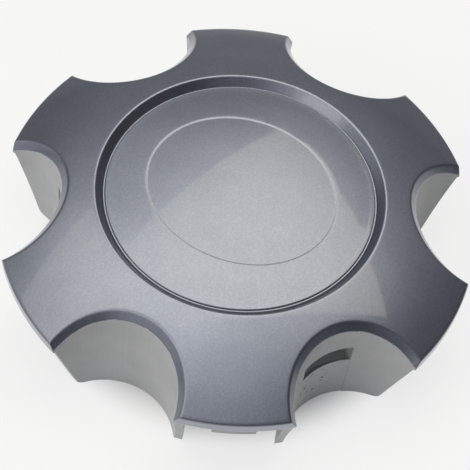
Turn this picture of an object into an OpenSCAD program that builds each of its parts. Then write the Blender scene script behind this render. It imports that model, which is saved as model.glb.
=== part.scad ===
// Wheel centre cap for a six-lug wheel, moulded in one piece.
// The origin is on the axis in the plane of the feet, the face looks along +Z, and one arm points along -Y.

/* [Star face] */
// Diameter over the ends of the arms
span_d = 137.7; // [134:0.1:138.4]
// Diameter of the circle that the wheel's lug centres lie on
lug_circle_d = 139.7; // [139:0.1:141]
// Number of lug scallops, and of arms between them
lug_count = 6; // [5:1:6]
// Diameter of each scallop where it meets the crowned face
scallop_d = 42.2; // [40:0.1:44]
// Radius of the sphere that the crowned face follows
crown_r = 150; // [140:1:170]
// Thickness of the face
face_t = 2.2; // [1.6:0.1:2.8]
// Height of the band down the end of each arm
skirt_h = 3.4; // [2.9:0.1:5]
// Thickness of that band
skirt_t = 2.1; // [1.6:0.1:2.8]
// Size of the rounding where the face turns into the band
rim_round = 0.6; // [0.3:0.1:1]

/* [Ring groove] */
// Diameter of the lip of the groove
lip_d = 82.6; // [82:0.1:85]
// Height of the lip above the feet
lip_h = 40.3; // [36:0.1:46]
// Depth of the groove below its lip
groove_depth = 2.5; // [2.2:0.1:3.2]
// Width of the sloping outer wall of the groove, seen from above
groove_run = 1.7; // [1.2:0.1:1.9]
// Radius of the rounded lip
lip_round = 0.9; // [0.4:0.1:1.2]

/* [Centre disc] */
// Diameter of the disc inside the groove
disc_d = 76.8; // [75:0.1:77.2]
// How far the edge of the disc lies below the lip
disc_drop = 1.9; // [1.6:0.1:2.1]
// Radius of the sphere that the disc follows
disc_crown_r = 178; // [150:1:220]
// Width of the flatter border round the disc
disc_border = 1.5; // [0.8:0.1:2.5]
// Extra fall across that border
border_fall = 0.2; // [0.1:0.05:0.3]
// Width of the short wall from the disc down to the floor of the groove, seen from above
disc_wall_run = 0.35; // [0.2:0.05:0.5]

/* [Emblem seat] */
// Length of the shallow oval recess in the disc
seat_l = 55.8; // [50:0.1:60]
// Width of the oval recess
seat_w = 49.3; // [44:0.1:52]
// Depth of the recess below the disc
seat_depth = 0.4; // [0.2:0.05:0.8]
// Width of the slope round the recess, seen from above
seat_slope = 0.55; // [0.3:0.05:1]
// Direction of the recess's long axis, in degrees from +X
seat_turn = 150; // [0:1:180]

/* [Lug walls] */
// Width of the painted bevel round each scallop, seen from above
bevel_w = 1.8; // [1.2:0.1:2.4]
// Height of that bevel
bevel_h = 2.5; // [1.8:0.1:2.8]
// Thickness of a lug wall at its foot
wall_t = 2.3; // [1.8:0.1:2.8]
// Draft of the lug walls, in degrees
wall_draft = 0.5; // [0.2:0.1:1]
// Diameter over the feet, where the slanted ends of the walls reach the plane they stand on
feet_d = 121; // [116:0.5:126]
// How far a wall's slanted end starts behind the band's outer face
end_set = 0.6; // [0.2:0.1:1]
// Rounding of the corner between a wall's slanted end and its foot
foot_corner = 2.6; // [0.5:0.1:3]
// Rounding of a foot on the hollow side
foot_round = 1.8; // [0.6:0.1:2]

/* [Snap windows] */
// Width of a window
window_w = 15.6; // [10:0.1:18]
// Height of a window
window_h = 7; // [4.5:0.1:8]
// Height of a window's lower edge above the feet
window_foot = 18.9; // [14:0.1:22]
// Depth of the shallow relief that runs down from a window to the foot
relief_depth = 0.3; // [0.1:0.05:0.6]

/* [Underside] */
// Width of the tab under the end of each arm
tab_w = 12; // [6:0.1:16]
// How far a tab reaches below the band
tab_h = 3.6; // [2:0.1:6]
// Thickness of a tab
tab_t = 1.7; // [1.2:0.1:2.2]
// How far a tab is set back from the band's outer face
tab_set = 1.2; // [0.8:0.1:1.6]
// Thickness of the stiffening rib along each arm
rib_t = 1.6; // [1.2:0.1:2.4]
// Depth of a rib below the face's underside
rib_h = 5; // [2:0.1:8]
// Distance from a rib's end to the band
rib_gap = 6; // [5:0.1:10]

/* [Hidden] */
$fn = 72;
dome_steps = 216;
corner_steps = 5;
bevel_reach = 1.4;
foot_flat = 0.3;
ring_share = 0.7;
over = 1;
lug_step = 360 / lug_count;
rim_r = span_d / 2;
lip_r = lip_d / 2;
disc_r = disc_d / 2;
lug_r = lug_circle_d / 2;
scallop_r = scallop_d / 2;
near_r = lug_r - scallop_r;
crown_z = lip_h - sqrt(pow(crown_r, 2) - pow(lip_r, 2));
rim_z = crown_height(rim_r);
skirt_z = rim_z - skirt_h;
floor_z = lip_h - groove_depth;
disc_edge_z = lip_h - disc_drop;
border_r = disc_r - disc_border;
border_z = disc_edge_z + border_fall + disc_border * border_r / disc_crown_r;
disc_z = border_z - sqrt(pow(disc_crown_r, 2) - pow(border_r, 2));
top_z = max(disc_z + disc_crown_r, crown_z + crown_r);
near_z = crown_height(near_r);

// Each wall leans back from the axis of its scallop as it goes down, and thins on its hollow side.
draft_slope = tan(wall_draft);
wall_top_r = scallop_r - bevel_w;
wall_foot_r = wall_top_r + draft_slope * (near_z - bevel_h);
post_foot_r = wall_foot_r + wall_t;
foot_curve = min(foot_round, wall_t - foot_flat);
post_top_r = post_foot_r + draft_slope * top_z;

// The rim of a scallop lies nearly in one plane that falls outwards with the crown.
mouth_x = (pow(rim_r, 2) + pow(lug_r, 2) - pow(scallop_r, 2)) / (2 * lug_r) - lug_r;
rim_slope = (rim_z - near_z) / (mouth_x + scallop_r);
rim_plane_z = near_z + rim_slope * scallop_r;

// Height of the crowned face at a distance from the axis.
function crown_height(r) = crown_z + sqrt(pow(crown_r, 2) - pow(r, 2));

// Height of the disc's dome at a distance from the axis.
function disc_height(r) = disc_z + sqrt(pow(disc_crown_r, 2) - pow(r, 2));

// Points along a circular arc, from one angle to another.
function arc(x, y, r, a0, a1, n) =
    [for (i = [0:n]) let (a = a0 + (a1 - a0) * i / n) [x + r * cos(a), y + r * sin(a)]];

// Direction of a vector, in degrees.
function heading(v) = atan2(v[1], v[0]);

// Points of the wedge that rounds a convex corner between two straight sides, given as directions away from it.
function corner_wedge(p, u, v, r) =
    let (
        half = acos(u * v) / 2,
        middle = (u + v) / norm(u + v),
        c = p + middle * r / sin(half),
        t1 = p + u * r / tan(half),
        t2 = p + v * r / tan(half),
        a1 = heading(t1 - c),
        turn = heading(t2 - c) - a1,
        a2 = a1 + (turn > 180 ? turn - 360 : turn < -180 ? turn + 360 : turn)
    )
    concat([p - middle * over], arc(c[0], c[1], r, a1, a2, corner_steps));

// A half disc of a given radius about the axis, for revolved spheres.
module half_disc(r) {
    intersection() {
        circle(r, $fn = dome_steps);
        translate([0, -2 * r]) square([2 * r, 4 * r]);
    }
}

// The space above the groove and the disc, cut out of the crowned face.
module recess_2d() {
    slope = groove_run / groove_depth;
    difference() {
        polygon([
            [0, floor_z],
            [lip_r - groove_run, floor_z],
            [lip_r + slope * over, lip_h + over],
            [lip_r + slope * over, top_z + over],
            [0, top_z + over],
        ]);
        intersection() {
            translate([0, disc_z]) half_disc(disc_crown_r);
            polygon([
                [0, floor_z - over],
                [disc_r + disc_wall_run, floor_z - over],
                [disc_r + disc_wall_run, floor_z],
                [disc_r, disc_edge_z],
                [border_r, border_z],
                [border_r, top_z + over],
                [0, top_z + over],
            ]);
        }
    }
}

// The hollow under the face, one wall thickness below its outer side. The groove shows there as a raised ring.
module hollow_2d() {
    ring_side = face_t * ring_share;
    ring_in = disc_r - ring_side;
    ring_out = lip_r - groove_run + ring_side;
    ring_slope = groove_run / groove_depth;
    difference() {
        intersection() {
            translate([0, crown_z]) half_disc(crown_r - face_t);
            translate([0, -over]) square([rim_r - skirt_t, top_z + over]);
        }
        polygon([
            [ring_in, floor_z - face_t],
            [ring_out, floor_z - face_t],
            [ring_out + ring_slope * (groove_depth + face_t), lip_h + over],
            [ring_in - face_t, lip_h + over],
        ]);
        difference() {
            square([ring_in, top_z + over]);
            translate([0, disc_z]) half_disc(disc_crown_r - face_t);
        }
    }
}

// Half section of the face with its groove, disc and end band.
module face_2d() {
    wall_dir = [-groove_run, -groove_depth] / norm([groove_run, groove_depth]);
    lip_fall = asin(lip_r / crown_r);
    rim_fall = asin(rim_r / crown_r);
    difference() {
        intersection() {
            translate([0, crown_z]) half_disc(crown_r);
            translate([0, skirt_z]) square([rim_r, top_z]);
        }
        recess_2d();
        hollow_2d();
        polygon(corner_wedge([lip_r, lip_h], wall_dir, [cos(lip_fall), -sin(lip_fall)], lip_round));
        polygon(corner_wedge([rim_r, rim_z], [0, -1], [-cos(rim_fall), sin(rim_fall)], rim_round));
    }
}

// What the oval emblem recess takes away: all above a lowered dome, inside an oval cone that widens upwards.
// The cone is stretched so that it meets the dome in the stated oval, at the ends as well as at the sides.
module seat_cut() {
    lean = seat_slope / seat_depth;
    side_z = disc_height(seat_w / 2);
    end_z = disc_height(seat_l / 2);
    foot_z = end_z - seat_depth - over;
    stretch = seat_l / (seat_w - 2 * lean * (side_z - end_z));
    intersection() {
        rotate_extrude() difference() {
            translate([0, foot_z]) square([seat_l, top_z + over - foot_z]);
            translate([0, disc_z - seat_depth]) half_disc(disc_crown_r);
        }
        rotate([0, 0, seat_turn])
            translate([0, 0, foot_z])
                scale([stretch, 1, 1])
                    cylinder(
                        h = top_z + over - foot_z,
                        d1 = seat_w - 2 * lean * (side_z - foot_z),
                        d2 = seat_w + 2 * lean * (top_z + over - side_z)
                    );
    }
}

// Body of revolution inside which the lug walls lie: it follows the face, the band and the slanted wall ends.
module envelope() {
    end_r = rim_r - end_set;
    lean = [feet_d / 2 - end_r, -skirt_z] / norm([feet_d / 2 - end_r, -skirt_z]);
    difference() {
        rotate_extrude() intersection() {
            translate([0, crown_z]) half_disc(crown_r - face_t / 2);
            polygon([
                [0, -over],
                [feet_d / 2 + over * lean[0], over * lean[1]],
                [end_r, skirt_z],
                [end_r, skirt_z + skirt_t / 2],
                [rim_r - skirt_t / 2, skirt_z + skirt_t / 2],
                [rim_r - skirt_t / 2, top_z],
                [0, top_z],
            ]);
        }
        rotate_extrude() polygon(corner_wedge([feet_d / 2, 0], -lean, [-1, 0], foot_corner));
    }
}

// Solid post round the axis of one scallop: its outside is the hollow side of that scallop's wall.
module post() {
    rotate_extrude() polygon(concat(
        [[0, 0]],
        arc(post_foot_r - foot_curve, foot_curve, foot_curve, -90, 0, corner_steps),
        [[post_top_r, top_z], [0, top_z]]
    ));
}

// What one scallop takes away: the drafted inside of its wall, and the bevel that follows the crowned rim.
module scallop_cut() {
    wall_h = top_z + 2 * over;
    foot_r = wall_foot_r + draft_slope * over;
    translate([0, 0, -over])
        cylinder(h = wall_h, r1 = foot_r, r2 = foot_r - draft_slope * wall_h);
    multmatrix([[1, 0, 0, 0], [0, 1, 0, 0], [rim_slope, 0, 1, rim_plane_z], [0, 0, 0, 1]])
        translate([0, 0, -bevel_h * bevel_reach])
            cylinder(
                h = 2 * bevel_h * bevel_reach,
                r1 = scallop_r - bevel_w * bevel_reach,
                r2 = scallop_r + bevel_w * bevel_reach
            );
}

// One snap window and the shallow relief that runs down from it.
module window_cut() {
    half = asin(window_w / 2 / wall_foot_r);
    deep = wall_foot_r + relief_depth;
    translate([-post_top_r - over, -window_w / 2, window_foot])
        cube([post_top_r - wall_top_r * cos(half) + 2 * over, window_w, window_h]);
    rotate([0, 0, 180 - half])
        translate([0, 0, -over])
            rotate_extrude(angle = 2 * half) polygon([
                [wall_top_r - over, 0],
                [deep + draft_slope * over, 0],
                [deep - draft_slope * (window_foot + over), window_foot + 2 * over],
                [wall_top_r - over, window_foot + 2 * over],
            ]);
}

// Tab under the end of one arm.
module tab() {
    out_r = rim_r - tab_set;
    half = asin(tab_w / 2 / out_r);
    rotate([0, 0, -half])
        rotate_extrude(angle = 2 * half)
            translate([out_r - tab_t, skirt_z - tab_h])
                square([tab_t, tab_h + skirt_h - face_t / 2]);
}

// Stiffening ribs along the arms, under the face.
module ribs() {
    intersection() {
        union() for (i = [0:lug_count - 1])
            rotate([0, 0, (i + 0.5) * lug_step])
                translate([0, -rib_t / 2, 0]) cube([rim_r, rib_t, top_z]);
        rotate_extrude() difference() {
            intersection() {
                translate([0, crown_z]) half_disc(crown_r - face_t / 2);
                translate([lip_r, 0]) square([rim_r - rib_gap - lip_r, top_z]);
            }
            translate([0, crown_z]) half_disc(crown_r - face_t - rib_h);
        }
    }
}

module centre_cap() {
    color("silver") difference() {
        union() {
            rotate_extrude() face_2d();
            intersection() {
                union() for (i = [0:lug_count - 1])
                    rotate([0, 0, i * lug_step]) translate([lug_r, 0, 0]) post();
                envelope();
            }
            for (i = [0:lug_count - 1])
                rotate([0, 0, (i + 0.5) * lug_step]) tab();
            ribs();
        }
        seat_cut();
        for (i = [0:lug_count - 1])
            rotate([0, 0, i * lug_step]) translate([lug_r, 0, 0]) scallop_cut();
        for (i = [1:2:lug_count - 1])
            rotate([0, 0, i * lug_step]) translate([lug_r, 0, 0]) window_cut();
    }
}

centre_cap();
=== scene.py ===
from math import acos, asin, atan2, cos, pi, radians, sin, sqrt, tan

import bmesh
import bpy
import numpy as np
from mathutils import Matrix, Vector
from mathutils.kdtree import KDTree


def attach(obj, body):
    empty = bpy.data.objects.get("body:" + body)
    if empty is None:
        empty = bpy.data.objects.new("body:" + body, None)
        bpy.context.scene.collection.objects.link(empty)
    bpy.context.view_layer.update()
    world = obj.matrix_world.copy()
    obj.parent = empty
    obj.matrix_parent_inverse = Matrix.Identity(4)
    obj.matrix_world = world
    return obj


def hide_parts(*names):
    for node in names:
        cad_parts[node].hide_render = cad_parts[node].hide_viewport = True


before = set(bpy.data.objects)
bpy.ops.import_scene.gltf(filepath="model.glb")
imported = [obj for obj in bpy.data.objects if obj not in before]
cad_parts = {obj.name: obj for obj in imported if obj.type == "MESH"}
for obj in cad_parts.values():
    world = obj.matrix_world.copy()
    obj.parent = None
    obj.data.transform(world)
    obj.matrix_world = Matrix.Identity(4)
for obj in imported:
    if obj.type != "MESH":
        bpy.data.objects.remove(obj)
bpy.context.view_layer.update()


# Lug walls

# The six curved walls that clear the wheel's lug nuts, and the sloping bevel between each wall and the face.
# They are moulded with the face in one shot of light grey ABS, and drafted so that the core pulls out below.
# The moulding is worked out in millimetres, as sheets of four-sided faces between rows of points.
LUGS = 6
LUG_STEP = 2 * pi / LUGS
LUG_R = 69.85  # the wheel's lug circle
RIM_R = 68.85  # the outer side of the arms' ends
CROWN_R = 150  # the face is part of a large ball
LIP_R = 41.1  # where the face meets the ring groove
LIP_Z = 40.3
FACE_T = 2.2
SCALLOP_R = 21.1  # round a lug's axis, at the face
BEVEL_W = 1.8
BEVEL_H = 2.5
WALL_T = 2.3
DRAFT = tan(radians(0.5))
BAND_H = 3.4
BAND_T = 2.1
TAB_SET = 1.2  # how far the tabs stand back from the bands
END_SET = 0.6  # how far the walls' ends stand back from them
FEET_R = 60.5  # where the walls' slanting ends meet the plane of the feet
FOOT_CORNER = 2.6
FOOT_ROUND = 1.8
FOOT_EDGE = 0.25
WINDOW_W = 15.6
WINDOW_LOW = 18.9
WINDOW_HIGH = 25.9
RELIEF = 0.2  # how much deeper the wall lies below a window
BROW_ROUND = 0.45  # radii of the roundings, on painted edges and on bare ones
PAINT_ROUND = 0.3
BARE_ROUND = 0.25
WINDOW_ROUND = 0.15

CROWN_Z = LIP_Z - sqrt(CROWN_R**2 - LIP_R**2)


def crown_height(r, inset=0):
    """Height of the crowned face at a distance r from the wheel axis, or of a surface that far inside it."""
    return CROWN_Z + np.sqrt((CROWN_R - inset) ** 2 - r**2)


RIM_Z = float(crown_height(RIM_R))
BAND_Z = RIM_Z - BAND_H
WALL_FOOT_R = SCALLOP_R - BEVEL_W + DRAFT * (float(crown_height(LUG_R - SCALLOP_R)) - BEVEL_H)
POST_FOOT_R = WALL_FOOT_R + WALL_T


def wall_radius(z):
    """Radius of a wall's outer side about its lug's axis, with the small rounding at the foot."""
    lift = np.clip(FOOT_EDGE - z, 0, FOOT_EDGE)
    return WALL_FOOT_R - DRAFT * z + FOOT_EDGE - np.sqrt(FOOT_EDGE**2 - lift**2)


def post_radius(z):
    """Radius of a wall's hollow side about its lug's axis, with the large rounding at the foot."""
    lift = np.clip(FOOT_ROUND - z, 0, FOOT_ROUND)
    return POST_FOOT_R + DRAFT * z - FOOT_ROUND + np.sqrt(FOOT_ROUND**2 - lift**2)


def end_reach(z):
    """Distance of a wall's last column from the wheel axis: below the band, END_SET beyond the wall's end."""
    if z >= BAND_Z:
        return RIM_R
    run = RIM_R - END_SET - FEET_R
    slant = atan2(run, BAND_Z)
    flat = FOOT_CORNER / tan((pi / 2 + slant) / 2)
    if z > flat * cos(slant):
        return END_SET + FEET_R + run / BAND_Z * z
    return END_SET + FEET_R - flat + sqrt(FOOT_CORNER**2 - (z - FOOT_CORNER) ** 2)


def mouth_angle(rho, reach):
    """Angle about a lug's axis, from the line to the wheel axis, at which radius rho is that far from it."""
    return acos((LUG_R**2 + rho**2 - reach**2) / (2 * LUG_R * rho))


# Columns of a wall's mesh, from its middle outwards: half a window, the rest of the wall, and its end.
WINDOW_HALF = 6
WALL_SIDE = 15
END_BACKS = (TAB_SET, END_SET, 0)
ENDS = len(END_BACKS)
STEP = 0.12  # width of the narrow faces beside a corner


def wall_angles(rho, reach):
    """Where the columns of a wall's mesh stand at one height. Columns keep to the window's upright edges."""
    side = mouth_angle(rho, reach - BAND_T)
    window = asin(WINDOW_W / 2 / rho)
    half = np.concatenate([
        np.linspace(0, window, WINDOW_HALF + 1),
        np.linspace(window + STEP / rho, side, WALL_SIDE),
        [mouth_angle(rho, reach - back) for back in END_BACKS],
    ])
    return np.concatenate([-half[:0:-1], half])


COLUMNS = len(wall_angles(SCALLOP_R, RIM_R))
WINDOW_COLUMNS = range(COLUMNS // 2 - WINDOW_HALF, COLUMNS // 2 + WINDOW_HALF + 1)


def wall_row(rho, z, reach):
    """One row of a wall's points, round the lug's axis on +X. rho and z may differ from column to column."""
    rho, z = np.broadcast_to(rho, COLUMNS), np.broadcast_to(z, COLUMNS)
    phi = np.array([wall_angles(r, reach)[i] for i, r in enumerate(rho)])
    return np.stack([LUG_R - rho * np.cos(phi), rho * np.sin(phi), z], 1)


def distance(points):
    """Distance of points from the wheel axis."""
    return np.hypot(points[:, 0], points[:, 1])


def under_height(points):
    return crown_height(distance(points), FACE_T)


# The brow is the bevel's upper edge, and the hem its lower one.
brow = wall_row(SCALLOP_R, 0, RIM_R)
brow[:, 2] = crown_height(distance(brow))
hem_z = brow[:, 2] - BEVEL_H
bevel_rows = [brow] + [
    wall_row(SCALLOP_R + (wall_radius(hem_z) - SCALLOP_R) * t, brow[:, 2] - BEVEL_H * t, RIM_R)
    for t in (1 / 3, 2 / 3, 1)
]

# Heights of the rows: from the hem to the band's lower edge, and from the window's upper edge to the feet.
upper_z = [hem_z + (BAND_Z - hem_z) * t for t in (1 / 2, 1)]
BAND_ROW = len(upper_z)
WINDOW_ROW = BAND_ROW + 1
WINDOW_ROWS = 5
LOW_ROWS = 9
FOOT_LEVELS = [1.7, 1.2, 0.8, 0.45, 0.2, 0.05, 0]
FOOT_TOP = 2.2
LEVELS = [
    WINDOW_HIGH,
    *np.linspace(WINDOW_HIGH, WINDOW_LOW, WINDOW_ROWS + 1)[1:],
    *np.linspace(WINDOW_LOW, FOOT_TOP, LOW_ROWS + 1)[1:],
    *FOOT_LEVELS,
]


def outer_rows(window):
    """Rows of the side of a wall that looks at the lug nut, from the bevel down to the foot."""
    rows = [bevel_rows[-1]]
    rows += [wall_row(wall_radius(z), z, RIM_R) for z in upper_z]
    for z in LEVELS:
        rho = np.full(COLUMNS, wall_radius(z))
        if window and z <= WINDOW_LOW:
            rho[WINDOW_COLUMNS.start:WINDOW_COLUMNS.stop] += RELIEF
        rows.append(wall_row(rho, z, end_reach(z)))
    return np.array(rows)


# Rows of the hollow side, from the foot up to the band's lower edge and then to the underside of the face.
# The last row's radius and height depend on each other, and three rounds from a first guess settle them.
ROOF_GUESS = 34.0
RISE = np.linspace(0, 1, 5)
inner_low = np.array([wall_row(post_radius(z), z, end_reach(z)) for z in [*LEVELS[::-1], BAND_Z]])
roof = wall_row(post_radius(ROOF_GUESS), ROOF_GUESS, RIM_R)
for _ in range(3):
    roof = wall_row(post_radius(under_height(roof)), under_height(roof), RIM_R)
rise_z = [BAND_Z + (roof[:, 2] - BAND_Z) * t for t in RISE]
inner_high = np.array([wall_row(post_radius(z), z, RIM_R) for z in rise_z])[:, ENDS:-ENDS]

PAINTED, BARE = 0, 1
sheets = []
lines = []


def turned(points, steps):
    """The points turned about the wheel axis by that many lug steps."""
    a = steps * LUG_STEP
    return points @ np.array([[cos(a), sin(a), 0], [-sin(a), cos(a), 0], [0, 0, 1]])


def add_sheet(points, finish, leave_out=(), steps=0):
    """Keeps a grid of points as a sheet of faces, without the faces whose (row, column) is in leave_out."""
    sheets.append((turned(np.asarray(points, float), steps), finish, frozenset(leave_out)))


def add_line(points, radius, steps=0):
    """Keeps a run of points as an edge that gets a rounding of that radius."""
    lines.append((turned(np.asarray(points, float), steps), radius))


def window_faces(first_row, rows):
    """The faces that a window leaves out of a wall's side."""
    return [(first_row + i, j) for i in range(rows) for j in WINDOW_COLUMNS[:-1]]


def end_faces(rows):
    """The faces of a wall's outermost strips, which are left out below the band: the walls end behind it."""
    return [(i, j) for i in rows for j in (0, COLUMNS - 2)]


# The window's sill slopes down inwards by two rows. Every second wall has a window.
SILL_ROWS = 2
window_depth = np.arange(WINDOW_ROWS + SILL_ROWS + 1)
outer_window = window_faces(WINDOW_ROW, WINDOW_ROWS)
inner_window = window_faces(len(LEVELS) - 1 - WINDOW_ROWS - SILL_ROWS, WINDOW_ROWS + SILL_ROWS)
w0, w1 = WINDOW_COLUMNS[0], WINDOW_COLUMNS[-1]

for lug in range(LUGS):
    has_window = lug % 2 == 1
    outer = outer_rows(has_window)
    outer_gaps = end_faces(range(BAND_ROW, len(outer) - 1)) + outer_window * has_window
    inner_gaps = end_faces(range(len(inner_low) - 1)) + inner_window * has_window
    add_sheet(bevel_rows, PAINTED, steps=lug)
    add_sheet(outer, BARE, outer_gaps, lug)
    add_sheet([outer[-1], inner_low[0]], BARE, end_faces([0]), lug)
    add_sheet(inner_low, BARE, inner_gaps, lug)
    add_sheet(inner_high, BARE, steps=lug)
    for end, beside in ((0, 1), (-1, -2)):
        add_sheet([outer[BAND_ROW:, beside][::-1], inner_low[:, beside]], BARE, steps=lug)
        add_sheet([outer[BAND_ROW, [beside, end]], inner_low[-1, [beside, end]]], BARE, steps=lug)
        add_line(outer[:BAND_ROW + 1, end], BARE_ROUND, lug)
        add_line([outer[BAND_ROW, end], inner_low[-1, end]], PAINT_ROUND, lug)
        add_line(outer[BAND_ROW:, beside], BARE_ROUND, lug)
        add_line(inner_low[len(FOOT_LEVELS):, beside], BARE_ROUND, lug)
        add_line([row[end] for row in bevel_rows], PAINT_ROUND, lug)
    add_line(brow, BROW_ROUND, lug)
    add_line(bevel_rows[-1], PAINT_ROUND, lug)
    if has_window:
        front = outer[WINDOW_ROW + np.minimum(window_depth, WINDOW_ROWS)]
        back = inner_low[::-1][1 + window_depth]
        for edge in (np.s_[0, w0:w1 + 1], np.s_[-1, w0:w1 + 1], np.s_[:, w0], np.s_[:, w1]):
            add_sheet([front[edge], back[edge]], BARE, steps=lug)
            add_line(front[edge], WINDOW_ROUND, lug)


# Arm ends

# Each arm of the star ends in a short band, and a locating tab hangs under it, a little behind its front.
# They are part of the same moulding. The paint stops at the band's lower edge, where the spray jig held it.
TAB_W = 12
TAB_H = 3.6
TAB_T = 1.7
RIB_T = 1.6
BAND_TOP_ROUND = 0.6
TAB_COLUMNS = 5
SIDE_COLUMNS = 7
TINY = 1e-6

band_points = [row[-1] for row in (*bevel_rows, *outer_rows(False)[1:BAND_ROW + 1])]


def arm_side(point):
    """Sideways distance from the middle line of the arm at 30 degrees of a point on the wall before it."""
    return -(point[1] * cos(LUG_STEP / 2) - point[0] * sin(LUG_STEP / 2))


def spread(outermost):
    """Sideways places of the columns between two walls. They keep to the sides of the tab and of the rib."""
    tab, rib = TAB_W / 2, RIB_T / 2
    half = np.concatenate([
        [0, rib],
        np.linspace(rib + STEP, tab, TAB_COLUMNS),
        np.linspace(tab + STEP, outermost, SIDE_COLUMNS),
    ])
    return np.concatenate([-half[:0:-1], half])


def arm_points(side, r, z):
    """Points at a distance r from the wheel axis, set sideways from the middle of the arm at 30 degrees."""
    side, r, z = np.broadcast_arrays(np.asarray(side, float), r, z)
    along = np.sqrt(r**2 - side**2)
    c, s = cos(LUG_STEP / 2), sin(LUG_STEP / 2)
    return np.stack([along * c - side * s, along * s + side * c, z], 1)


# Sideways places of a wall's last four columns at the height of the band's lower edge.
at_band, at_end, at_tab, at_back = (arm_side(inner_low[-1, k]) for k in (-1, -2, -3, -4))
band_sheet = []
for point in band_points:
    edge = arm_side(point)
    band_sheet.append(arm_points(np.concatenate([[-edge], spread(at_band), [edge]]), RIM_R, point[2]))

in_tab = np.abs(spread(at_back)) <= TAB_W / 2 + TINY
inner_face_r = np.where(in_tab, RIM_R - TAB_SET - TAB_T, RIM_R - BAND_T)
inner_face_top = crown_height(inner_face_r, FACE_T)
tab_low = np.where(in_tab, BAND_Z - TAB_H, BAND_Z)
under_rows = [
    arm_points(spread(at_band), RIM_R, BAND_Z),
    arm_points(spread(at_end), RIM_R - END_SET, BAND_Z),
    arm_points(spread(at_tab), RIM_R - TAB_SET, BAND_Z),
    arm_points(spread(at_tab), RIM_R - TAB_SET, tab_low),
]
for i, t in enumerate(RISE):
    rise_sides = spread(arm_side(inner_high[i, -1]))
    under_rows.append(arm_points(rise_sides, inner_face_r, tab_low + (inner_face_top - tab_low) * t))

for arm in range(LUGS):
    add_sheet(band_sheet, PAINTED, steps=arm)
    add_sheet(under_rows, BARE, steps=arm)
    add_line(band_sheet[0], BAND_TOP_ROUND, arm)
    add_line(under_rows[0], PAINT_ROUND, arm)


# Face, ring groove and emblem recess

# The crowned face of the star, a groove round a slightly sunk disc, and an empty oval recess for an emblem.
# It is the show side of the moulding, sprayed as one surface, so every edge on it is softened.
INSET = 1.0  # the first ring of points inside the star's outline
GROOVE_RUN = 2.3  # width of the groove's outer slope
FLOOR_Z = 37.8
DISC_R = 38.4
DISC_Z = LIP_Z - 2.0
DISC_WALL_RUN = 0.02
DISC_CROWN_R = 178
BORDER_R = 37.15  # the disc's border ends in a small step
BORDER_SINK = 0.03
BORDER_STEP = 0.015
BORDER_RUN = 0.3
SHOULDER_R = LIP_R + 1.2  # where the rounding of the lip starts
DOME_R = 34.0  # where the disc's plain dome starts
RECESS_L = 55.8
RECESS_W = 49.3
RECESS_TURN = radians(150)
RECESS_DEPTH = 0.18
RECESS_RUN = 0.8  # width of the recess's soft slope
RECESS_EDGE = 0.1  # how much of it lies outside the oval
LIP_ROUND = 0.85
GROOVE_ROUND = 0.12
DISC_FOOT_ROUND = 0.08
DISC_ROUND = 0.4
STEP_ROUND = 0.25
FACE_ROWS, BORDER_ROWS, SLOPE_ROWS, RECESS_ROWS = 11, 7, 7, 13

BORDER_Z = DISC_Z + (DISC_R - BORDER_R) * BORDER_R / DISC_CROWN_R - BORDER_SINK
DOME_Z = BORDER_Z - BORDER_STEP - sqrt(DISC_CROWN_R**2 - BORDER_R**2)


def dome_height(r):
    return DOME_Z + np.sqrt(DISC_CROWN_R**2 - r**2)


def rounded(points, steps=5):
    """A profile of (r, z) points with its corners turned into arcs, from (r, z, size of the rounding)."""
    out = [np.array(points[0][:2])]
    for before, here, after in zip(points, points[1:], points[2:]):
        p = np.array(here[:2])
        u, v = np.array(before[:2]) - p, np.array(after[:2]) - p
        u, v = u / np.linalg.norm(u), v / np.linalg.norm(v)
        half = acos(np.clip(u @ v, -1, 1)) / 2
        middle = p + (u + v) / np.linalg.norm(u + v) * here[2] / sin(half)
        a, b = p + u * here[2] / tan(half) - middle, p + v * here[2] / tan(half) - middle
        full = pi - 2 * half
        for t in np.linspace(0, 1, steps):
            out.append(middle + (a * sin((1 - t) * full) + b * sin(t * full)) / sin(full))
    out.append(np.array(points[-1][:2]))
    return out


def loop(parts_of_lug, parts_of_arm):
    """One closed ring of points round the star, from the points of the first lug and of the arm after it."""
    ring = []
    for k in range(LUGS):
        ring += [turned(parts_of_lug, k), turned(parts_of_arm, k)]
    return np.concatenate(ring)


def ring_at(angles, r, z):
    """A ring of points about the wheel axis. r and z may differ from point to point."""
    r, z = np.broadcast_to(r, len(angles)), np.broadcast_to(z, len(angles))
    return np.stack([np.cos(angles) * r, np.sin(angles) * r, z], 1)


def closed(rings):
    return [np.concatenate([ring, ring[:1]]) for ring in rings]


# The first ring inside the star's outline keeps one distance from it, so that the arms' tips round off
# evenly. On the groove and the disc all columns stand at even angles, and the rings between lead over to it.
brow_side = arm_side(brow[-1])
face_sides = np.concatenate([[-brow_side], spread(at_band), [brow_side]])
inset_brow = wall_row(SCALLOP_R + INSET, 0, RIM_R - INSET)
inset_sides = face_sides * arm_side(inset_brow[-1]) / face_sides[-1]
inset = loop(inset_brow, arm_points(inset_sides, RIM_R - INSET, 0))
even = LUG_STEP / (COLUMNS + len(face_sides) - 2)
half_lug = even * (COLUMNS - 1) / 2
lug_angles = np.linspace(-half_lug, half_lug, COLUMNS)
arm_angles = np.linspace(half_lug, LUG_STEP - half_lug, len(face_sides))
one_lug = np.concatenate([lug_angles, arm_angles])
face_angles = np.concatenate([one_lug + k * LUG_STEP for k in range(LUGS)])

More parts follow.
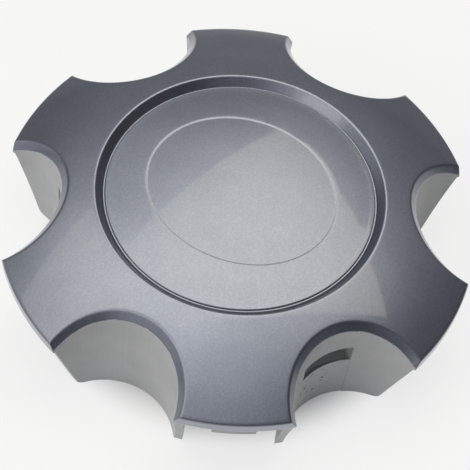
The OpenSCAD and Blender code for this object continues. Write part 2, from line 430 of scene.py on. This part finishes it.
profile = rounded([
    (SHOULDER_R, float(crown_height(SHOULDER_R)), 0),
    (LIP_R, LIP_Z, LIP_ROUND),
    (LIP_R - GROOVE_RUN, FLOOR_Z, GROOVE_ROUND),
    (DISC_R + DISC_WALL_RUN, FLOOR_Z, DISC_FOOT_ROUND),
    (DISC_R, DISC_Z, DISC_ROUND),
    (BORDER_R, BORDER_Z, DISC_ROUND),
    (BORDER_R - BORDER_RUN, float(dome_height(BORDER_R - BORDER_RUN)), STEP_ROUND),
    (DOME_R, float(dome_height(DOME_R)), 0),
])

rings = [loop(brow, band_sheet[0])]
shoulder = ring_at(face_angles, SHOULDER_R, 0)
for t in np.linspace(0, 1, FACE_ROWS + 1)[:-1]:
    ring = inset + (shoulder - inset) * t
    ring[:, 2] = crown_height(distance(ring))
    rings.append(ring)
rings += [ring_at(face_angles, r, z) for r, z in profile]

from_long_axis = face_angles - RECESS_TURN
oval_r = 1 / np.hypot(np.cos(from_long_axis) * 2 / RECESS_L, np.sin(from_long_axis) * 2 / RECESS_W)
edge_r = oval_r + RECESS_EDGE
inner_r = edge_r - RECESS_RUN
for t in np.linspace(0, 1, BORDER_ROWS + 1)[1:]:
    r = DOME_R + (edge_r - DOME_R) * t
    rings.append(ring_at(face_angles, r, dome_height(r)))
for t in np.linspace(0, 1, SLOPE_ROWS + 1)[1:]:
    r = edge_r - RECESS_RUN * t
    rings.append(ring_at(face_angles, r, dome_height(r) - RECESS_DEPTH * t * t * (3 - 2 * t)))
for t in np.linspace(1, 0, RECESS_ROWS + 1)[1:]:
    rings.append(ring_at(face_angles, inner_r * t, dome_height(inner_r * t) - RECESS_DEPTH))
add_sheet(closed(rings), PAINTED)


# Underside

# The hollow side of the face: the groove shows as a ring, and a stiffening rib runs out along each arm to its
# tab. It is bare plastic, left as it came off the mould's core.
RIB_H = 5
RIB_END = 0.13  # share of the way in from the arm's end at which the rib starts
RIB_END_RUN = 0.002
BEFORE_RIB = (0, 0.06)  # shares of the way in of the rows before it
ARM_ROWS = 9
RING_R = 42.33  # the ring under the groove: where it starts, its rounded corner and its flat
RING_CORNER = (41.3, 41.14)
RING_CORNER_H = 0.285
RING_FLAT = (39.7, 38.3, 36.86)
RING_Z = FLOOR_Z - FACE_T
UNDER_DISC = (36.4, 35.0, *np.linspace(33, 0, 10))
UNDER_CROWN_R = DISC_CROWN_R - FACE_T
LUG_SHARE = radians(23)  # half the angle that the columns of one lug take up on the ring

roof_loop = loop(roof[ENDS:-ENDS], under_rows[-1])
roof_sides = spread(arm_side(inner_high[-1, -1]))
roof_phi = wall_angles(float(post_radius(roof[0, 2])), RIM_R)[ENDS:-ENDS]
rib_on_arm = np.abs(roof_sides) <= RIB_T / 2 + TINY
is_rib = np.tile(np.concatenate([np.zeros(len(roof_phi), bool), rib_on_arm]), LUGS)
column_sides = np.tile(np.concatenate([np.zeros(len(roof_phi)), roof_sides]), LUGS)

# On the ring, the columns of the rib keep their sideways place, and the others draw in between them.
straight = RIB_T / 2 + STEP
far = np.abs(roof_sides)
arm_edge = RING_R * sin(LUG_STEP / 2 - LUG_SHARE)
drawn_in = straight + (far - straight) * (arm_edge - straight) / (far[-1] - straight)
sideways = np.where(far <= straight, far, drawn_in)
arm_angles = LUG_STEP / 2 + np.arcsin(np.sign(roof_sides) * sideways / RING_R)
one_lug = np.concatenate([LUG_SHARE * roof_phi / roof_phi[-1], arm_angles])
under_angles = np.concatenate([one_lug + k * LUG_STEP for k in range(LUGS)])


def rib_height(points):
    return crown_height(distance(points), FACE_T + RIB_H)


def keep_straight(ring, r):
    """Sets the rib's columns so that they keep their sideways place at that radius."""
    for k in range(LUGS):
        a = LUG_STEP * (k + 0.5)
        pick = is_rib & (np.abs(np.mod(under_angles - a + pi, 2 * pi) - pi) < LUG_STEP / 4)
        side = column_sides[pick]
        along = np.sqrt(r**2 - side**2)
        ring[pick, 0] = along * cos(a) - side * sin(a)
        ring[pick, 1] = along * sin(a) + side * cos(a)
    return ring


rings = []
ring_start = ring_at(under_angles, RING_R, 0)
rib_rows = np.linspace(RIB_END, 1, ARM_ROWS + 1)[1:]
for t in (*BEFORE_RIB, RIB_END - RIB_END_RUN, RIB_END + RIB_END_RUN, *rib_rows):
    ring = roof_loop + (ring_start - roof_loop) * t
    ring[:, 2] = np.where(is_rib & (t > RIB_END), rib_height(ring), under_height(ring))
    rings.append(ring)
corner = ring_at(under_angles, RING_CORNER[0], RING_Z + RING_CORNER_H)
corner[is_rib, 2] = rib_height(corner)[is_rib]
rings.append(keep_straight(corner, RING_CORNER[0]))
rings.append(keep_straight(ring_at(under_angles, RING_CORNER[1], RING_Z), RING_CORNER[1]))
rings += [ring_at(under_angles, r, RING_Z) for r in RING_FLAT]
rings += [ring_at(under_angles, r, DOME_Z + sqrt(UNDER_CROWN_R**2 - r**2)) for r in UNDER_DISC]
add_sheet(closed(rings), BARE)


# The whole moulding

# All the sheets are joined along their common edges into one closed skin, and its edges get their roundings.
# Painted edges are rounder than bare ones, because the coats build up and level there.
MM = 0.001
JOIN = 0.004
SLIVER = 0.0005
ON_LINE = 0.01
LEAST_CORNER = radians(12)
SHARP = radians(38)

mesh = bpy.data.meshes.new("centre_cap_moulding")
bm = bmesh.new()
for points, finish, leave_out in sheets:
    rows, columns = points.shape[:2]
    grid = [[bm.verts.new(p) for p in row] for row in points]
    for i in range(rows - 1):
        for j in range(columns - 1):
            if (i, j) not in leave_out:
                face = bm.faces.new((grid[i][j], grid[i][j + 1], grid[i + 1][j + 1], grid[i + 1][j]))
                face.material_index = finish
bmesh.ops.delete(bm, geom=[v for v in bm.verts if not v.link_faces], context="VERTS")
bmesh.ops.remove_doubles(bm, verts=bm.verts, dist=JOIN)
bmesh.ops.dissolve_degenerate(bm, edges=bm.edges, dist=SLIVER)
bmesh.ops.recalc_face_normals(bm, faces=bm.faces)

# An edge gets a rounding where both its ends lie on the same line and its faces meet at a real corner.
weights = bm.edges.layers.float.new("bevel_weight_edge")
tree = KDTree(sum(len(points) for points, _ in lines))
for number, (points, _) in enumerate(lines):
    for p in points:
        tree.insert(p, number)
tree.balance()
bm.verts.index_update()
on_lines = [{number for _, number, _ in tree.find_range(v.co, ON_LINE)} for v in bm.verts]
for edge in bm.edges:
    shared = on_lines[edge.verts[0].index] & on_lines[edge.verts[1].index]
    if shared and edge.calc_face_angle() > LEAST_CORNER:
        edge[weights] = max(lines[number][1] for number in shared)
bmesh.ops.scale(bm, vec=(MM, MM, MM), verts=bm.verts)
bm.to_mesh(mesh)
bm.free()

cap = bpy.data.objects.new("centre_cap_moulding", mesh)
bpy.context.scene.collection.objects.link(cap)
rounding = cap.modifiers.new("edge roundings", "BEVEL")
rounding.limit_method = "WEIGHT"
rounding.width = MM
rounding.segments = 3
rounding.use_clamp_overlap = False
mesh = bpy.data.meshes.new_from_object(cap.evaluated_get(bpy.context.evaluated_depsgraph_get()))
cap.modifiers.clear()
cap.data = mesh
mesh.shade_smooth()
mesh.set_sharp_from_angle(angle=SHARP)
shading = cap.modifiers.new("even shading", "WEIGHTED_NORMAL")
shading.keep_sharp = True


# Silver paint

# The face, the bevels and the bands: a silver-grey metallic base coat, sprayed on the ABS and clear-coated.
# The aluminium flakes give it a fine sparkling grain, and it turns from light to dark slate with the light.
# The clear coat adds a thin sharp gloss over that, with the soft waviness of sprayed lacquer.


def linear(code):
    """The linear colour of an sRGB hex code."""
    parts = [int(code[i:i + 2], 16) / 255 for i in (0, 2, 4)]
    return [c / 12.92 if c <= 0.04045 else ((c + 0.055) / 1.055) ** 2.4 for c in parts] + [1]


def settle(node, settings):
    """Sets a node's own settings and its inputs' values, and a colour ramp's stops of (place, sRGB hex)."""
    for key, value in settings.items():
        if key == "stops":
            elements = node.color_ramp.elements
            for element, (place, code) in zip(elements, (value[0], value[-1])):
                element.position, element.color = place, linear(code)
            for place, code in value[1:-1]:
                elements.new(place).color = linear(code)
        elif isinstance(key, str) and hasattr(node, key):
            setattr(node, key, value)
        else:
            node.inputs[key].default_value = value


def add(material, kind, settings=None, links=None):
    """Adds a node to a material or a world, with its settings and with links into its inputs."""
    node = material.node_tree.nodes.new("ShaderNode" + kind)
    settle(node, settings or {})
    for key, socket in (links or {}).items():
        link(material, socket, node.inputs[key])
    return node


def link(material, socket, target):
    material.node_tree.links.new(socket, target)


def new_material(name):
    """A new material and its Principled shader."""
    material = bpy.data.materials.new(name)
    material.use_nodes = True
    return material, material.node_tree.nodes["Principled BSDF"]


# Real flakes are about 0.03 mm, too fine to show, so they are drawn as clusters of 0.28 mm. The coat's clouds
# are 11 mm wide, and the waves of its lacquer 1.8 mm.
FLAKE = 0.28 * MM
CLOUD = 11 * MM
PEEL = 1.8 * MM
PEEL_DEPTH = 0.01 * MM

paint, shader = new_material("silver_metallic_paint")
settle(shader, {"Metallic": 0.85, "Roughness": 0.36, "Coat Weight": 1, "Coat Roughness": 0.05})
place = add(paint, "TexCoord").outputs
flakes = add(paint, "TexVoronoi", {"Scale": 1 / FLAKE}, {"Vector": place["Object"]})
cloud = add(paint, "TexNoise", {"Scale": 1 / CLOUD, "Detail": 3}, {"Vector": place["Object"]})
flake_tone = add(paint, "ValToRGB", {
    "stops": [(0.0, "838892"), (0.55, "8d929c"), (1.0, "9da2ac")],
}, {"Fac": flakes.outputs["Color"]})
cloud_tone = add(paint, "ValToRGB", {
    "stops": [(0.3, "858a94"), (0.7, "979ca6")],
}, {"Fac": cloud.outputs["Fac"]})
# In a Mix of colours, inputs 6 and 7 are the colours, and output 2 is the result.
tone = add(paint, "Mix", {"data_type": "RGBA", "Factor": 0.3}, {
    6: flake_tone.outputs["Color"], 7: cloud_tone.outputs["Color"]})
# Painted shade: the base colour is darkened where the surface tilts away from straight up, on the bevels and
# a little on the arms' ends, so that these slopes look as dark as they do under the light.
upright = add(paint, "SeparateXYZ", links={"Vector": place["Normal"]})
painted_slope_shade = add(paint, "ValToRGB", {
    "stops": [
        (0.1, "ffffff"), (0.4, "bec0c6"), (0.7, "bec0c6"),
        (0.885, "d6d8dc"), (0.91, "e2e4e8"), (0.95, "ffffff"),
    ],
}, {"Fac": upright.outputs["Z"]})
slope_shaded_tone = add(paint, "Mix", {"data_type": "RGBA", "blend_type": "MULTIPLY", "Factor": 1}, {
    6: tone.outputs[2], 7: painted_slope_shade.outputs["Color"]})
link(paint, slope_shaded_tone.outputs[2], shader.inputs["Base Color"])
peel = add(paint, "TexNoise", {"Scale": 1 / PEEL, "Detail": 1}, {"Vector": place["Object"]})
waves = add(paint, "Bump", {"Strength": 0.12, "Distance": PEEL_DEPTH}, {"Height": peel.outputs["Fac"]})
link(paint, waves.outputs["Normal"], shader.inputs["Coat Normal"])
grain = add(paint, "Bump", {"Strength": 0.2, "Distance": PEEL_DEPTH}, {
    "Height": flakes.outputs["Color"], "Normal": waves.outputs["Normal"]})
link(paint, grain.outputs["Normal"], shader.inputs["Normal"])


# Bare plastic

# The lug walls, the wall ends and the underside: light grey ABS as it came out of the mould, without paint.
# A satin, faintly mottled surface, greyer and duller than the paint, with fine draw lines where the mould's
# steel dragged along the walls. Some road dirt sticks to the wall below one window.
MOTTLE = 9 * MM
DRAW_W = 0.6 * MM
DRAW_L = 14 * MM
DRAW_DEPTH = 0.02 * MM
GRIT = 1.3 * MM  # the cells that hold one speck each, of about 0.7 mm
SOILED_R = 8 * MM
THICK_R = 5.5 * MM
SPOT = (0.0223, -0.0457, 0.0107)  # on the wall of the lug at 300 degrees, below the left end of its window

bare, shader = new_material("bare_grey_abs")
settle(shader, {"Roughness": 0.45})
place = add(bare, "TexCoord").outputs["Object"]
mottle = add(bare, "TexNoise", {"Scale": 1 / MOTTLE, "Detail": 4}, {"Vector": place})
tall = add(bare, "Mapping", {"Scale": (1 / DRAW_W, 1 / DRAW_W, 1 / DRAW_L)}, {"Vector": place})
draw = add(bare, "TexNoise", {"Scale": 1, "Detail": 2}, {"Vector": tall.outputs["Vector"]})
plain_tone = add(bare, "ValToRGB", {
    "stops": [(0.25, "a5a6a7"), (0.75, "b2b3b5")],
}, {"Fac": mottle.outputs["Fac"]})
draw_tone = add(bare, "ValToRGB", {
    "stops": [(0.3, "fafaf9"), (0.7, "ffffff")],
}, {"Fac": draw.outputs["Fac"]})
drawn = add(bare, "Mix", {"data_type": "RGBA", "blend_type": "MULTIPLY", "Factor": 1}, {
    6: plain_tone.outputs["Color"], 7: draw_tone.outputs["Color"]})
# A speck shows where its cell is one of the picked ones and lies near the spot.
grit = add(bare, "TexVoronoi", {"Scale": 1 / GRIT}, {"Vector": place})
bits = add(bare, "MapRange", {"From Min": 0.4, "From Max": 0.28}, {"Value": grit.outputs["Distance"]})
picked = add(bare, "Math", {"operation": "GREATER_THAN", 1: 0.55}, {0: grit.outputs["Color"]})
away = add(bare, "VectorMath", {"operation": "DISTANCE", 1: SPOT}, {0: place})
soiled_area = add(bare, "MapRange", {"From Min": SOILED_R, "From Max": THICK_R}, {
    "Value": away.outputs["Value"]})
specks = add(bare, "Math", {"operation": "MULTIPLY"}, {0: bits.outputs["Result"], 1: picked.outputs["Value"]})
dirt = add(bare, "Math", {"operation": "MULTIPLY"}, {
    0: specks.outputs["Value"], 1: soiled_area.outputs["Result"]})
soiled = add(bare, "Mix", {"data_type": "RGBA", 7: linear("57534a")}, {
    0: dirt.outputs["Value"], 6: drawn.outputs[2]})
link(bare, soiled.outputs[2], shader.inputs["Base Color"])
satin = add(bare, "Bump", {"Strength": 0.06, "Distance": DRAW_DEPTH}, {"Height": draw.outputs["Fac"]})
link(bare, satin.outputs["Normal"], shader.inputs["Normal"])

mesh.materials.append(paint)
mesh.materials.append(bare)
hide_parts("centre_cap")
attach(cap, "root")


# Floor

# A white floor. The camera, gloss and clear things see it three quarters as plain white, and the rest
# keeps the cap's shadow. That white is a painted pool of light that fades out far away and under the cap,
# and the floor's own colour turns grey far out as painted shade, so that the room stays dim and the hollow
# stays dark. All distances are in metres from the cap's middle.
FLOOR_SIZE = 12
WHITE_SHARE = 0.75
WHITE_R, GREY_R = 0.2, 0.5
HOLLOW_R, CLEAR_R = 0.046, 0.062

bpy.ops.mesh.primitive_plane_add(size=FLOOR_SIZE, location=(0, 0, 0))
floor = bpy.context.object
floor.name = "floor"
white, shader = new_material("floor_white")
settle(shader, {"Roughness": 0.9})
path = add(white, "LightPath").outputs
seen = add(white, "Math", {"operation": "MAXIMUM"}, {0: path["Is Camera Ray"], 1: path["Is Glossy Ray"]})
seen = add(white, "Math", {"operation": "MAXIMUM"}, {
    0: seen.outputs["Value"], 1: path["Is Transmission Ray"]})
place = add(white, "TexCoord").outputs["Object"]
away = add(white, "VectorMath", {"operation": "LENGTH"}, {0: place}).outputs["Value"]
# Painted shade: the floor's colour darkens from pale to grey between 0.2 and 0.7 m out.
painted_falloff_tone = add(white, "ValToRGB", {"stops": [(0.2, "eaeaea"), (0.7, "969696")]}, {"Fac": away})
link(white, painted_falloff_tone.outputs["Color"], shader.inputs["Base Color"])
# Painted pool of light: the white share is full within WHITE_R and gone beyond GREY_R.
painted_glow_pool = add(white, "MapRange", {
    "interpolation_type": "SMOOTHSTEP", "From Min": GREY_R, "From Max": WHITE_R, "To Max": WHITE_SHARE,
}, {"Value": away})
outside = add(white, "MapRange", {
    "interpolation_type": "SMOOTHSTEP", "From Min": HOLLOW_R, "From Max": CLEAR_R,
}, {"Value": away})
share = add(white, "Math", {"operation": "MULTIPLY"}, {0: seen.outputs["Value"], 1: painted_glow_pool.outputs["Result"]})
share = add(white, "Math", {"operation": "MULTIPLY"}, {
    0: share.outputs["Value"], 1: outside.outputs["Result"]})
plain = add(white, "Emission", {"Strength": 1})
blend = add(white, "MixShader", links={
    0: share.outputs["Value"], 1: shader.outputs["BSDF"], 2: plain.outputs["Emission"]})
link(white, blend.outputs["Shader"], white.node_tree.nodes["Material Output"].inputs["Surface"])
floor.data.materials.append(white)


# Light panels

# A bright panel hangs over the cap, a little to its far side. A second one stands on its left, with a small
# lamp low down. Their slanting edges mirror in the clear coat and cross the disc and the left arm, as in the
# photograph.


def direction(azimuth, height):
    """The direction of a place in the room as seen from the cap, from its angles in degrees."""
    a, e = radians(azimuth), radians(height)
    return np.array([cos(e) * cos(a), cos(e) * sin(a), sin(e)])


def light_panel(name, reach, corners, strength):
    """A flat glowing panel, with its corners at those (azimuth, height) angles and reach metres away."""
    panel_mesh = bpy.data.meshes.new(name)
    panel_mesh.from_pydata([direction(*corner) * reach for corner in corners], [], [range(len(corners))])
    panel = bpy.data.objects.new(name, panel_mesh)
    bpy.context.scene.collection.objects.link(panel)
    glow, shader = new_material(name)
    glow.node_tree.nodes.remove(shader)
    emission = add(glow, "Emission", {"Color": linear("fffbf3"), "Strength": strength})
    link(glow, emission.outputs["Emission"], glow.node_tree.nodes["Material Output"].inputs["Surface"])
    panel_mesh.materials.append(glow)


light_panel("overhead_panel", 1.3, [(77, 37.5), (5, 50.5), (209, 77), (144.5, 62.7)], 1.94)
light_panel("left_panel", 1.2, [(137.3, 48.1), (170, 71), (236, 50), (236, 26), (197, 25.6)], 1.70)
light_panel("low_panel", 1.1, [(199, 26), (199, 35), (233, 35), (233, 26)], 3.0)


# Room

# A dim, slightly cool room with soft light from overhead and from the left. It is darkest on the right.
# Each soft patch of light is (azimuth, height, where it ends, where it is full, strength), with its angles in
# degrees.
DIM = 0.06
PATCHES = (
    (0, 90, 35, 10, 0.84), (60, 60, 34, 10, 0.10), (120, 60, 34, 10, 0.55), (180, 60, 34, 10, 0.52),
    (240, 60, 34, 10, 0.32), (45, 33, 34, 8, 0.13), (90, 33, 34, 8, 0.15), (180, 33, 34, 8, 0.18),
    (225, 33, 34, 8, 0.55), (270, 33, 34, 8, 0.30), (135, 8, 34, 6, 0.10), (180, 8, 34, 6, 0.70),
    (225, 8, 34, 6, 0.72), (340, 18, 34, 8, 0.07),
)

world = bpy.data.worlds.new("studio")
bpy.context.scene.world = world
world.use_nodes = True
way = add(world, "TexCoord").outputs["Generated"]
terms = {}
for azimuth, height, wide, full, strength in PATCHES:
    towards = add(world, "VectorMath", {"operation": "DOT_PRODUCT", 1: direction(azimuth, height)}, {0: way})
    patch = add(world, "MapRange", {
        "interpolation_type": "SMOOTHSTEP",
        "From Min": cos(radians(wide)), "From Max": cos(radians(full)), "To Max": strength,
    }, {"Value": towards.outputs["Value"]})
    terms[1] = patch.outputs["Result"]
    # The first patch is added to the dim room, and each other one to the sum so far.
    terms[0] = add(world, "Math", {"operation": "ADD", 0: DIM}, terms).outputs["Value"]

# The pale wall behind reaches up to about 11 degrees above the floor. Its bounds are shares of a direction's
# length.
WALL_GLOW = 0.12
WALL_TOP, WALL_FULL = 0.21, 0.18
FAR_START, FAR_FULL = 0.1, 0.5
along = add(world, "SeparateXYZ", links={"Vector": way}).outputs
low_down = add(world, "MapRange", {"From Min": WALL_TOP, "From Max": WALL_FULL, "To Max": WALL_GLOW}, {
    "Value": along["Z"]})
far_off = add(world, "MapRange", {"From Min": FAR_START, "From Max": FAR_FULL}, {"Value": along["Y"]})
wall = add(world, "Math", {"operation": "MULTIPLY"}, {
    0: low_down.outputs["Result"], 1: far_off.outputs["Result"]})
total = add(world, "Math", {"operation": "ADD"}, {0: terms[0], 1: wall.outputs["Value"]}).outputs["Value"]
background = world.node_tree.nodes["Background"]
settle(background, {"Color": linear("f7f9ff")})
link(world, total, background.inputs["Strength"])
bpy.context.scene.view_settings.view_transform = "Standard"


# Camera

# It stands where the photograph was taken from. All its values come from fitting the cap's outline to the
# photograph, which is 470 pixels wide and high, with the middle of its lens at CENTRE_X and CENTRE_Y.
EYE = Vector((-29.02, -271.24, 421.99)) * MM
AHEAD = Vector((0.06516, 0.55308, -0.83058))
ROLL = radians(8.588)
PHOTO = 470
FOCAL = 1664.09
CENTRE_X, CENTRE_Y = 244.14, 240.11
SENSOR = 36

camera_data = bpy.data.cameras.new("camera")
camera_data.sensor_width = SENSOR
camera_data.lens = FOCAL / PHOTO * SENSOR
camera_data.shift_x = (PHOTO / 2 - CENTRE_X) / PHOTO
camera_data.shift_y = (CENTRE_Y - PHOTO / 2) / PHOTO
camera = bpy.data.objects.new("camera", camera_data)
bpy.context.scene.collection.objects.link(camera)
bpy.context.scene.camera = camera
flat_right = AHEAD.cross(Vector((0, 0, 1))).normalized()
flat_up = flat_right.cross(AHEAD)
right = flat_right * cos(ROLL) + flat_up * sin(ROLL)
up = flat_up * cos(ROLL) - flat_right * sin(ROLL)
camera.matrix_world = Matrix.Translation(EYE) @ Matrix((right, up, -AHEAD)).transposed().to_4x4()
